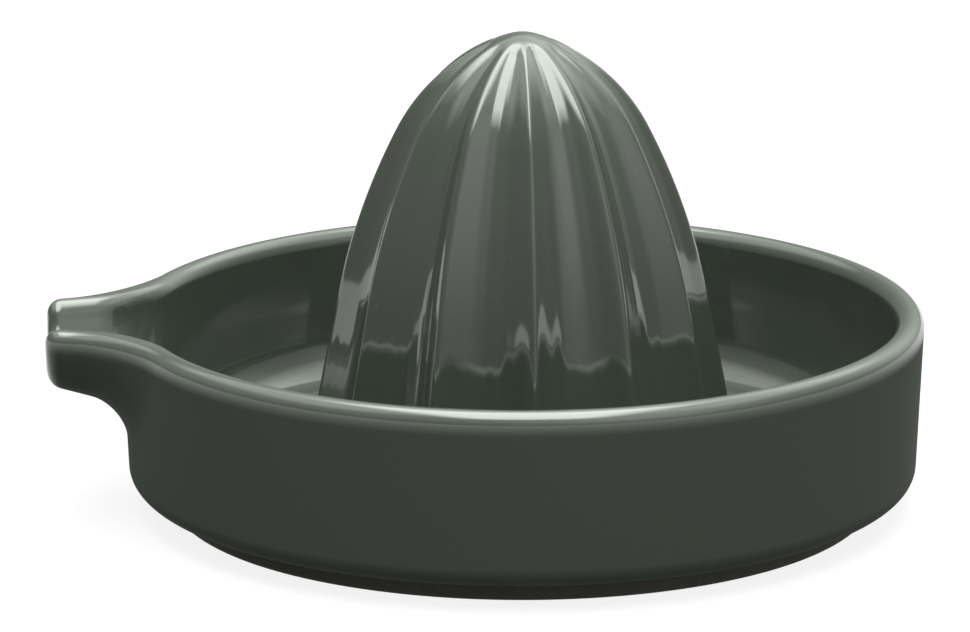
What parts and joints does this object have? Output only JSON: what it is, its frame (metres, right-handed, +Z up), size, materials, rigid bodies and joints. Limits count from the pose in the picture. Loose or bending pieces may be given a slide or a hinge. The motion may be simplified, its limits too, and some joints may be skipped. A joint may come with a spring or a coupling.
{
  "type": "citrus juicer",
  "caption": "Shallow round stoneware citrus juicer with an open pouring spout on one side and a hollow fluted reaming cone rising from the middle of the bowl.",
  "frame": {"origin": "on the bowl's axis at table level, in the plane of the standing ring", "axes": "+Z up along the axis of the bowl and the cone, -X towards the pouring spout, +Y to the far side when the spout points left"},
  "size_m": [0.1531, 0.1398, 0.0834],
  "materials": {
    "glaze": "glossy dark grey-green glaze",
    "bare_clay": "matt bare stoneware, wiped free of glaze"
  },
  "bodies": {
    "root": {"bowl": "glaze", "pouring_spout": "glaze", "reamer_cone": "glaze", "foot_ring": "bare_clay"}
  },
  "joints": []
}
